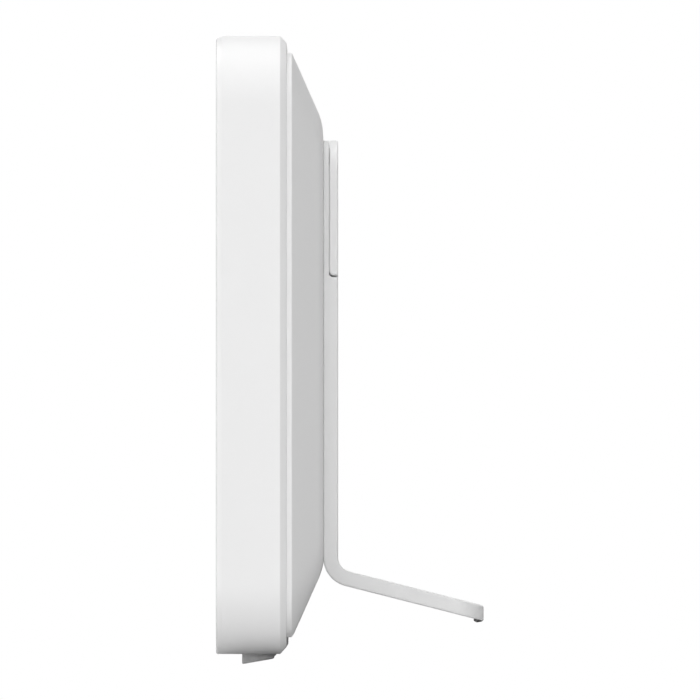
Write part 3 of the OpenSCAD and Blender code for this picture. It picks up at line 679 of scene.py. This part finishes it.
class MONITOR_OT_case(MonitorOperator, bpy.types.Operator):
    """Add the case: side walls, chamfered back edge, and the plate inside that carries the screen and the board"""

    bl_idname = "monitor.case"
    bl_label = "Case"

    def execute(self, context):
        s = context.scene.monitor_panel
        screen, light = extent("lcd_panel"), extent("backlight_unit")
        plate = np.array([0.1, 1.3]) * MM + light[1][1]
        lip = extent("glass_adhesive")[1][1]
        inner = CASE_BACK - s.chamfer_depth - 0.1 * MM
        line = eased([
            (30 * MM, plate[0], 0), (s.wall, plate[0], 0.3 * MM), (s.wall, lip, 0), (0.55 * MM, lip, 0),
            (0.55 * MM, GLASS_T, 0), (0, GLASS_T, s.parting), (0, CASE_BACK - s.chamfer_depth, s.edge),
            (s.chamfer_inset, CASE_BACK, s.edge), (s.flange, CASE_BACK, 0.2 * MM), (s.flange, inner, 0.2 * MM),
            (s.wall, inner, 0.5 * MM), (s.wall, plate[1], 0.3 * MM), (30 * MM, plate[1], 0)])
        piece = solid("case_shell", skin(panel_rings(line, lambda inset: np.maximum(s.corner - inset, MM))))

        # Wall round the screen, and the ribs that tie it to the sides
        wall, root, middle = 1.2 * MM, plate[0] + 0.02 * MM, PANEL_H / 2
        outer = (screen[1] - screen[0])[[0, 2]] / 2 + 0.5 * MM + wall
        step = np.array([0, 0, wall, wall])
        combined(piece, "UNION", skin(rings(
            outer[0] - step, middle - outer[1] + step, middle + outer[1] - step, 1.4 * MM - step, 1.4 * MM - step,
            np.array([lip, root, root, lip]), 4, 0), hollow=True))
        rib, bite = 0.5 * MM, wall / 2
        ribs = [block((x - rib, lip + 0.05 * MM, z0), (x + rib, root, z1))
                for x in np.array([-60, -30, 30, 60]) * MM
                for z0, z1 in ((s.wall / 2, middle - outer[1] + bite),
                               (middle + outer[1] - bite, PANEL_H - s.wall / 2))]
        ribs += [block((x0, lip + 0.05 * MM, z - rib), (x1, root, z + rib))
                 for z in middle + np.array([-30, 0, 30]) * MM
                 for x0, x1 in ((-PANEL_W / 2 + s.wall / 2, -outer[0] + bite),
                                (outer[0] - bite, PANEL_W / 2 - s.wall / 2))]
        combined(piece, "UNION", gathered(ribs))

        # Bosses under the board and under the back cover, and their screw holes
        board_front = extent("main_board")[0][1]
        board_at, case_at = screw_places("board_screws"), screw_places("case_screws")
        combined(piece, "UNION", gathered(
            [rod(BOARD_POST, plate[1] - 0.2 * MM, board_front, at, 36) for at in board_at]
            + [rod(CASE_POST, plate[1] - 0.2 * MM, CASE_BOSS_TOP, at, 36) for at in case_at]))
        cuts = [rod(BOARD_HOLE, plate[0] - MM, board_front + MM, at) for at in board_at]
        cuts += [rod(CASE_HOLE, plate[1] - 0.6 * MM, CASE_BOSS_TOP + MM, at) for at in case_at]
        ribbons = [extent("display_flex"), extent("touch_flex")]
        left, right = min(r[0][0] for r in ribbons), max(r[1][0] for r in ribbons)
        low = ribbons[0][0][2]
        cuts.append(block((left - 1.2 * MM, lip - MM, low - 0.6 * MM),
                          (right + 1.2 * MM, plate[1] + MM, low + 2.6 * MM)))
        combined(piece, "DIFFERENCE", *cuts)
        dressed(piece, "monitor", moulded("case_white", s.white), "white_case", "housing")
        return {"FINISHED"}


class MONITOR_OT_back(MonitorOperator, bpy.types.Operator):
    """Add the back cover: rim, sloping sides, flat back, connector bay, screw wells, slots and vents"""

    bl_idname = "monitor.back"
    bl_label = "Back Cover"

    def execute(self, context):
        scene = context.scene
        p, s = scene.monitor_panel, scene.monitor_back
        ratio = np.tan(s.slope)
        rim_back = CASE_BACK + s.rim_depth
        far_inset = s.rim_inset + (FLAT_BACK - rim_back) / ratio
        spigot = p.flange + 0.1 * MM
        cavity = spigot + 1.5 * MM
        front = CASE_BACK - 1.3 * MM
        inner_flat = FLAT_BACK - s.wall
        inner_rim = rim_back + (cavity - s.rim_inset) * ratio - s.wall / np.cos(s.slope)
        inner_inset = cavity + (inner_flat - inner_rim) / ratio
        line = eased([
            (30 * MM, FLAT_BACK, 0), (far_inset, FLAT_BACK, s.fillet), (s.rim_inset, rim_back, p.edge),
            (s.rim_inset, CASE_BACK, 0.06 * MM), (spigot, CASE_BACK, 0), (spigot, front, 0.2 * MM),
            (cavity, front, 0.2 * MM), (cavity, inner_rim, 0), (inner_inset, inner_flat, s.fillet - s.wall),
            (30 * MM, inner_flat, 0)], steps=9)

        def corner(inset):
            """Corner radius, eased in a straight line from the rim's to the flat back's."""
            share = np.clip((inset - s.rim_inset) / (far_inset - s.rim_inset), 0, 1)
            return (1 - share) * (p.corner - s.rim_inset) + share * s.corner

        piece = solid("back_shell", skin(panel_rings(line, corner)))

        # Bay, screw wells, seats of the brass inserts and the reset button's guide
        board_back = extent("main_board")[1][1]
        case_at, stand_at = screw_places("case_screws"), screw_places("stand_screws")
        button = extent("reset_button")
        reset_at = (sum(button) / 2)[[0, 2]]
        insert = extent("stand_inserts")
        root = FLAT_BACK - MM
        wall = s.bay_wall
        combined(piece, "UNION", gathered(
            [block((-s.bay_half - wall, s.bay_floor - wall, s.bay_low - wall),
                   (s.bay_half + wall, root, s.bay_high + wall))]
            + [rod(CASE_BOSS, CASE_BOSS_TOP, root, at) for at in case_at]
            + [rod(INSERT_BOSS, insert[0][1] - 1.6 * MM, root, at) for at in stand_at]
            + [rod(BUTTON_GUIDE, button[0][1] + 1.25 * MM, root, reset_at)]))
        combined(piece, "DIFFERENCE",
                 tub(s.bay_half, s.bay_low, s.bay_high, 1.2 * MM, s.bay_floor, FLAT_BACK, 0.5 * MM))

        jack, terminals = extent("network_jack"), extent("terminal_block")
        slots = [
            block((jack[0][0] + 1.5 * MM, jack[0][1] + 1.2 * MM, s.bay_high - 0.4 * MM),
                  (jack[1][0] - 1.5 * MM, jack[1][1] - 1.6 * MM, s.bay_high + wall + MM)),
            block((terminals[0][0] + MM, terminals[0][1] + MM, s.bay_high - 0.4 * MM),
                  (terminals[1][0] - MM, terminals[1][1] - 1.6 * MM, s.bay_high + wall + MM))]
        flare, depth = mouth(s.slot_ease, FLAT_BACK)
        well = CASE_BOSS_TOP + 2 * MM
        slots += [turned(np.concatenate([
            [[CASE_SHANK, CASE_BOSS_TOP - MM], [CASE_SHANK, well], [CASE_WELL, well]],
            np.stack([CASE_WELL + flare, depth], 1), [[CASE_WELL + s.slot_ease, FLAT_BACK + MM]]]), at)
            for at in case_at]
        slots += [hole(INSERT_HOLE, at, insert[0][1] - 0.6 * MM, FLAT_BACK, 0.02 * MM) for at in stand_at]
        slots.append(hole(BUTTON_HOLE, reset_at, board_back + 3.5 * MM, FLAT_BACK, s.slot_ease))

        def slope_slots(width, long, run, places, upper):
            """Rounded slots through a sloping side: x across, up the slope along (sin, cos) of its angle, and out of
            it along (cos, sin); the mouth flares at the face."""
            spread, out = mouth(s.slot_ease, 0.0, 3)
            spread, out = np.concatenate([[0], spread, [s.slot_ease]]), np.concatenate([[-4 * MM], out, [MM]])
            radius = width / 2 * 0.98 + spread
            rows = rings(width / 2 + spread, -long / 2 - spread, long / 2 + spread, radius, radius, out, 6, 0)
            x, out, up = rows[..., 0], rows[..., 1], rows[..., 2]
            y = rim_back + (run + up) * np.sin(s.slope) + out * np.cos(s.slope)
            z = s.rim_inset + (run + up) * np.cos(s.slope) - out * np.sin(s.slope)
            shape = skin(np.stack([x, y, PANEL_H - z if upper else z], -1))
            return repeated(shape, [(place, 0, 0) for place in places])

        speaker = sum(extent("speaker_frame")) / 2
        slots.append(slope_slots(1.1 * MM, 8 * MM, 9 * MM, speaker[0] + 2.4 * MM * np.arange(-6, 7), False))
        slots.append(slope_slots(1.4 * MM, 6 * MM, 8.2 * MM, 4 * MM * np.arange(-9, 10), True))
        combined(piece, "DIFFERENCE", gathered(slots))
        dressed(piece, "monitor", moulded("back_white", p.white, 0.32 * MM, 0.5), "white_case", "back_cover")
        return {"FINISHED"}


class MONITOR_OT_stand(MonitorOperator, bpy.types.Operator):
    """Add the bent plate with its cable window, the lid's seat and the holes in it"""

    bl_idname = "monitor.stand"
    bl_label = "Stand Plate"

    def execute(self, context):
        s = context.scene.monitor_stand
        top, reach, half = STAND[1][2], STAND[1][1], (STAND[1][0] - STAND[0][0]) / 2
        outer = s.bend + PLATE_T
        turn = np.pi / 2 - s.slope
        tip_z = desk_height(reach) + 0.05 * MM + PLATE_T / np.cos(s.slope)
        bend_z = tip_z + (reach - FLAT_BACK - PLATE_T) * np.tan(s.slope)
        centre = np.array([FLAT_BACK + outer, bend_z + s.bend * (1 - np.sin(s.slope)) / np.cos(s.slope)])
        upright = top - centre[1]
        arc = turn * (outer - PLATE_T / 2)

        def leg(w):
            """Length of the leg at a depth w into the plate, up to its upright end face."""
            return (reach - centre[0] + (outer - w) * np.cos(turn)) / np.sin(turn)

        full = upright + arc + leg(PLATE_T / 2)

        def bent(x, v, w):
            """Flat plate to bent plate: straight down, then round the bend's centre, then straight along the leg.
            v is the way down the plate and w the depth into it."""
            angle = np.clip((v - upright) / arc, 0, 1) * turn
            along = np.clip(v - upright - arc, 0, None) / leg(PLATE_T / 2) * leg(w)
            y = centre[0] - (outer - w) * np.cos(angle) + along * np.sin(turn)
            z = centre[1] - (outer - w) * np.sin(angle) - along * np.cos(turn) + np.clip(upright - v, 0, None)
            return np.stack([x, y, z], -1)

        # Half an outline down the right side, then the same up the left; the edge profile steps it in
        hold = 0.5 * MM
        profile = eased([(1.2 * MM, 0, 0), (0, 0, s.edge), (0, PLATE_T, s.edge), (1.2 * MM, PLATE_T, 0)], hold=0.3 * MM)
        inset, w = profile[:, :1], profile[:, 1:]
        a = np.linspace(np.pi / 2, 0, 13)
        radius = s.corner - inset
        side = np.concatenate([[s.corner + hold, upright - hold], upright + arc * np.linspace(0, 1, 25),
                               [upright + arc + hold, full - s.corner - hold]])
        x = np.concatenate([half - s.corner + radius * np.cos(a), half - inset + 0 * side,
                            half - s.corner + radius * np.cos(a[::-1])], 1)
        v = np.concatenate([s.corner - radius * np.sin(a), 0 * inset + side,
                            full - s.corner + radius * np.sin(a[::-1])], 1)
        ring = bent(np.concatenate([x, -x[:, ::-1]], 1), np.concatenate([v, v[:, ::-1]], 1), w)
        points, faces = skin(ring)
        count, around = ring.shape[:2]
        k = np.arange(around // 2 - 1)
        strip = np.stack([k, k + 1, around - 2 - k, around - 1 - k], -1)
        faces = faces[:-2] + strip.tolist() + (strip + (count - 1) * around).tolist()
        piece = solid("stand_plate", (points, faces))

        seat_y, seat_z = FLAT_BACK + PLATE_T - s.lid_t, LID[0][2] - s.lid_gap - 0.2 * MM
        back = FLAT_BACK + PLATE_T
        seat = eased([(back + MM, top + MM, 0), (seat_y, top + MM, 0), (seat_y, seat_z, s.seat_r),
                      (back, seat_z, 0), (back + MM, seat_z, 0)], hold=0)
        ease = np.linspace(0, np.pi / 2, 6)
        ledge = np.stack([back - s.edge + s.edge * np.sin(ease), seat_z - s.edge + s.edge * np.cos(ease)], 1)
        seat = np.concatenate([seat[:-2], ledge, [[back + MM, seat_z - s.edge]]])
        combined(piece, "DIFFERENCE", across(seat, half + MM))

        stand_at = screw_places("stand_screws")
        peg_at = [(x, z) for x in (-s.peg_out, s.peg_out) for z in sorted({at[1] for at in stand_at})]
        flare, depth = mouth(0.3 * MM, back)
        flare = np.concatenate([[0.3 * MM], flare[::-1], flare, [0.3 * MM]])
        depth = np.concatenate([[FLAT_BACK - MM], FLAT_BACK + back - depth[::-1], depth, [back + MM]])
        wide, tall = s.window_half
        window = skin(rings(wide + flare, s.window_z - tall - flare, s.window_z + tall + flare,
                            s.window_r + flare, s.window_r + flare, depth, 12, 0))
        foot = extent("rear_foot")
        cuts = [window, block((foot[0][0], foot[0][1], foot[1][2] - 6 * MM), foot[1])]
        cuts += [rod(STAND_HOLE, FLAT_BACK - MM, back, at) for at in stand_at]
        cuts += [rod(s.peg_r + 0.05 * MM, FLAT_BACK - MM, back, at) for at in peg_at]
        combined(piece, "DIFFERENCE", *cuts)
        dressed(piece, "monitor", powder_coat("powder_coat", s.colour), "stand_paint", "stand")
        return {"FINISHED"}


class MONITOR_OT_lid(MonitorOperator, bpy.types.Operator):
    """Add the lid over the stand's screws, with its hollow and its four pegs"""

    bl_idname = "monitor.lid"
    bl_label = "Screw Cover"

    def execute(self, context):
        s = context.scene.monitor_stand
        back, low, top = LID[1][1], LID[0][2], LID[1][2]
        front, half = back - s.lid_t + s.lid_gap, (LID[1][0] - LID[0][0]) / 2
        r = s.seat_r - s.lid_gap
        fine = 0.12 * MM
        rise = np.linspace(0, np.pi / 2, 9)
        lower = np.concatenate([r * (1 - np.sin(rise)), [0, 0], 0.2 * MM * (1 - np.cos(rise))])
        depth = np.concatenate([front + r * (1 - np.cos(rise)), [front + r + 0.1 * MM, back - s.edge - 0.1 * MM],
                                back - s.edge + s.edge * np.sin(rise)])
        inset = np.concatenate([fine * np.maximum(0, 1 - (depth[:9] - front) / fine), [0, 0],
                                s.edge * (1 - np.cos(rise))])
        # One more ring on each face, stepped in, keeps the edges crisp
        lower, inset = (np.concatenate([[v[0] + MM], v, [v[-1] + MM]]) for v in (lower, inset))
        depth = np.concatenate([[front], depth, [back]])
        rows = rings(half - inset, low + lower, top - inset, s.corner - inset, 0.5 * MM, depth, 12, 0.3 * MM)
        piece = solid("cover_lid", skin(rows))
        zs = sorted({at[1] for at in screw_places("stand_screws")})
        hollow = block((-34.5 * MM, front - MM, low + 2 * MM), (34.5 * MM, back - s.lid_skin, top - 2 * MM))
        combined(piece, "DIFFERENCE", hollow)
        pegs = [turned([(s.peg_r - 0.3 * MM, FLAT_BACK + 0.1 * MM), (s.peg_r, FLAT_BACK + 0.4 * MM),
                        (s.peg_r, back - s.lid_skin)], (x, z)) for x in (-s.peg_out, s.peg_out) for z in zs]
        # Low ribs near the two sides close the gap under the lid, except for a narrow dark line
        rib, seat = 0.3 * MM, front - s.lid_gap + 0.02 * MM
        ribs = [block((side * x - rib, seat, low + 0.9 * MM), (side * x + rib, front + 0.1 * MM, top - below))
                for side in (-1, 1)
                for x, below in ((half - 0.75 * MM, 5 * MM), (half - 3 * MM, 1.5 * MM))]
        combined(piece, "UNION", gathered(pegs))
        combined(piece, "UNION", gathered(ribs))
        dressed(piece, "screw_cover", moulded("lid_white", s.lid_colour, 0.26 * MM, 0.44), "white_cover", "screw_cover")
        return {"FINISHED"}


class MONITOR_OT_feet(MonitorOperator, bpy.types.Operator):
    """Add the two rubber wedges under the panel and the rubber strip under the leg's tip"""

    bl_idname = "monitor.feet"
    bl_label = "Feet"

    def execute(self, context):
        s = context.scene.monitor_stand
        finish = rubber("foot_rubber", s.foot_colour)
        for node in ("front_foot_left", "front_foot_right"):
            low, high = extent(node)
            middle, half = (low + high) / 2, (high - low) / 2
            rise = np.linspace(0, np.pi / 2, 6)
            inset = np.concatenate([[s.foot_ease, 0.05 * MM, 0], s.foot_ease * (1 - np.cos(rise)),
                                    [2.5 * s.foot_ease]])
            lift = np.concatenate([s.foot_ease * (1 - np.sin(rise)), [0]])
            # Rounded ends across the panel, drawn flat and then given their height over the sloping desk
            rows = rings(half[0] - inset, middle[1] - half[1] + inset, middle[1] + half[1] - inset,
                         (half[1] - inset) * 0.98, (half[1] - inset) * 0.98, 0 * inset, 10, 0)
            x, y = rows[..., 0] + middle[0], rows[..., 2]
            z = np.concatenate([np.broadcast_to([[0.0], [0.0], [-0.05 * MM]], (3, y.shape[1])),
                                desk_height(y[3:]) + lift[:, None]])
            piece = solid("wedge_" + node.rsplit("_", 1)[1], skin(np.stack([x, y, z], -1)))
            pegs = []
            for out in (-1, 1):
                peg = turned([(FOOT_PEG, 0.05 * MM), (FOOT_PEG, -high[2] + 0.2 * MM),
                              (FOOT_PEG - 0.25 * MM, -high[2])], (0, 0), 24)
                points = peg[0][:, [0, 2, 1]] * [1, 1, -1] + [middle[0] + out * half[0] / 2, middle[1], 0]
                pegs.append((points, peg[1]))
            combined(piece, "UNION", gathered(pegs))
            dressed(piece, "monitor", finish, "foot_rubber", node)

        low, high = extent("rear_foot")
        e = 0.25 * MM
        outline = eased([(low[1], high[2] - 0.2 * MM, 0), (low[1], desk_height(low[1]), e),
                         (high[1], desk_height(high[1]), e), (high[1], high[2], 0), (low[1], high[2], 0),
                         (low[1], high[2] - 0.1 * MM, 0)], hold=0.1 * MM)
        piece = solid("tip_strip", across(outline, high[0], 0.3 * MM))
        dressed(piece, "monitor", finish, "foot_rubber", "rear_foot")
        return {"FINISHED"}


class MONITOR_OT_inside(MonitorOperator, bpy.types.Operator):
    """Give every part carried over from the frame its finish"""

    bl_idname = "monitor.inside"
    bl_label = "Carried-over Parts"

    def execute(self, context):
        finishes = {}
        for name, node in frame["nodes"].items():
            if node.hide_render:
                continue
            slot = SLOT_OF[name]
            if slot not in finishes:
                finishes[slot] = slot_finish(slot, SLOT_COLOUR[slot])
            for place in node.material_slots:
                place.material = finishes[slot]
        return {"FINISHED"}


class MONITOR_OT_studio(MonitorOperator, bpy.types.Operator):
    """Add the floor, the soft lights and the camera that looks at the panel's side"""

    bl_idname = "monitor.studio"
    bl_label = "Studio"

    def execute(self, context):
        scene, s = context.scene, context.scene.monitor_studio
        scene.view_settings.view_transform = "Standard"

        # White to the eye, softer as light
        world = bpy.data.worlds.new("studio")
        world.use_nodes = True
        scene.world = world
        nodes, links = world.node_tree.nodes, world.node_tree.links
        nodes.clear()
        seen, lit = nodes.new("ShaderNodeBackground"), nodes.new("ShaderNodeBackground")
        seen.inputs["Color"].default_value = lit.inputs["Color"].default_value = (1, 1, 1, 1)
        lit.inputs["Strength"].default_value = s.ambient
        choice, path, out = (nodes.new("ShaderNode" + kind) for kind in ("MixShader", "LightPath", "OutputWorld"))
        links.new(path.outputs["Is Camera Ray"], choice.inputs[0])
        links.new(lit.outputs[0], choice.inputs[1])
        links.new(seen.outputs[0], choice.inputs[2])
        links.new(choice.outputs[0], out.inputs["Surface"])

        mesh = bpy.data.meshes.new("floor")
        corner = 4 * np.array([[-1, -1, 0], [1, -1, 0], [1, 1, 0], [-1, 1, 0]], float)
        mesh.from_pydata(corner, [], [(0, 1, 2, 3)])
        floor = bpy.data.objects.new("floor", mesh)
        scene.collection.objects.link(floor)
        mesh.materials.append(self.floor_finish(s.floor))

        def lamp(name, place, size, power):
            """A square soft light at a place in metres, turned to the object's middle."""
            data = bpy.data.lights.new(name, "AREA")
            data.shape, data.size, data.energy = "SQUARE", size, power
            light = bpy.data.objects.new(name, data)
            scene.collection.objects.link(light)
            place = np.array(place, float)
            away = place / np.linalg.norm(place)
            side = np.cross([0, 0, 1] if abs(away[2]) < 0.99 else [0, 1, 0], away)
            side /= np.linalg.norm(side)
            light.matrix_world = Matrix(np.vstack([np.column_stack([side, np.cross(away, side), away, place]),
                                                   [0, 0, 0, 1]]).tolist())
            light.visible_camera = False

        lamp("key", (2.2, -0.5, 1.5), 2.0, 14)
        lamp("side", (2.8, 0.5, 0.35), 1.6, 43)
        lamp("overhead", (0.2, 0.0, 2.4), 2.2, 39)
        lamp("front_fill", (-0.6, -2.4, 1.0), 1.8, 12)
        lamp("back_fill", (-1.6, 1.9, 1.3), 1.6, 10)
        lamp("far_fill", (-2.6, 0.2, 0.7), 1.6, 14)

        # The camera looks along -X from the height of the leg, turned so that the panel stands upright in its view
        data = bpy.data.cameras.new("camera")
        data.lens, data.sensor_width, data.clip_end = s.lens, 36.0, 100.0
        camera = bpy.data.objects.new("camera", data)
        scene.collection.objects.link(camera)
        aim = to_row(np.array([PANEL_W / 2, s.aim_depth, s.aim_height]))
        eye = to_row(np.array([PANEL_W / 2 + s.field * s.lens / data.sensor_width, s.aim_depth, s.eye_height]))
        away = (eye - aim) / np.linalg.norm(eye - aim)
        camera.matrix_world = Matrix(np.vstack([np.column_stack([AXES[1], np.cross(away, AXES[1]), away, eye]),
                                                [0, 0, 0, 1]]).tolist())
        scene.camera = camera
        return {"FINISHED"}

    def floor_finish(self, colour):
        """Pale floor; where it is seen almost edge on, camera rays see a painted glow of plain white emission instead,
        which hides the shadows there and lights nothing.
        """
        f = Finish("floor_pale", Roughness=0.6)
        cloud = f.noise(0.3, 2)
        f.surface(f.shades(colour, cloud, 0.01), 0.55 + 0.1 * cloud)
        # Painted glow: white emission, for camera rays only, where the floor is seen almost edge on, covering its
        # shadows there
        painted_graze_glow = Signal(f, f.node("ShaderNodeLayerWeight", {}, {"Blend": 0.5}).outputs["Facing"]).ramp(0.9, 0.97)
        painted_graze_glow = painted_graze_glow * Signal(f, f.node("ShaderNodeLightPath").outputs["Is Camera Ray"])
        white = f.node("ShaderNodeEmission", {}, {"Color": (1, 1, 1, 1), "Strength": 1.0})
        f.node("ShaderNodeOutputMaterial", {"is_active_output": True}, {"Surface": f.node(
            "ShaderNodeMixShader", {}, {0: painted_graze_glow, 1: f.shader.outputs[0], 2: white.outputs[0]}).outputs[0]})
        return f.material


class MONITOR_PT_builder(bpy.types.Panel):
    """Lists the pieces in the order in which they are added"""

    bl_idname = "MONITOR_PT_builder"
    bl_label = "Desk Monitor"
    bl_space_type = "VIEW_3D"
    bl_region_type = "UI"
    bl_category = "Monitor"

    def draw(self, context):
        for operator in OPERATORS:
            self.layout.operator(operator.bl_idname)


OPERATORS = (MONITOR_OT_glass, MONITOR_OT_case, MONITOR_OT_back, MONITOR_OT_stand, MONITOR_OT_lid, MONITOR_OT_feet,
             MONITOR_OT_inside, MONITOR_OT_studio)
SETTINGS = {"monitor_panel": PanelSettings, "monitor_back": BackSettings, "monitor_stand": StandSettings,
            "monitor_studio": StudioSettings}


def register():
    for group in SETTINGS.values():
        bpy.utils.register_class(group)
    for operator in OPERATORS:
        bpy.utils.register_class(operator)
    bpy.utils.register_class(MONITOR_PT_builder)
    for name, group in SETTINGS.items():
        setattr(bpy.types.Scene, name, bpy.props.PointerProperty(type=group))


def unregister():
    for name in SETTINGS:
        delattr(bpy.types.Scene, name)
    for group in (MONITOR_PT_builder, *OPERATORS[::-1], *reversed(SETTINGS.values())):
        bpy.utils.unregister_class(group)


def main():
    register()
    for operator in OPERATORS:
        family, name = operator.bl_idname.split(".")
        getattr(getattr(bpy.ops, family), name)()


if __name__ == "__main__":
    main()
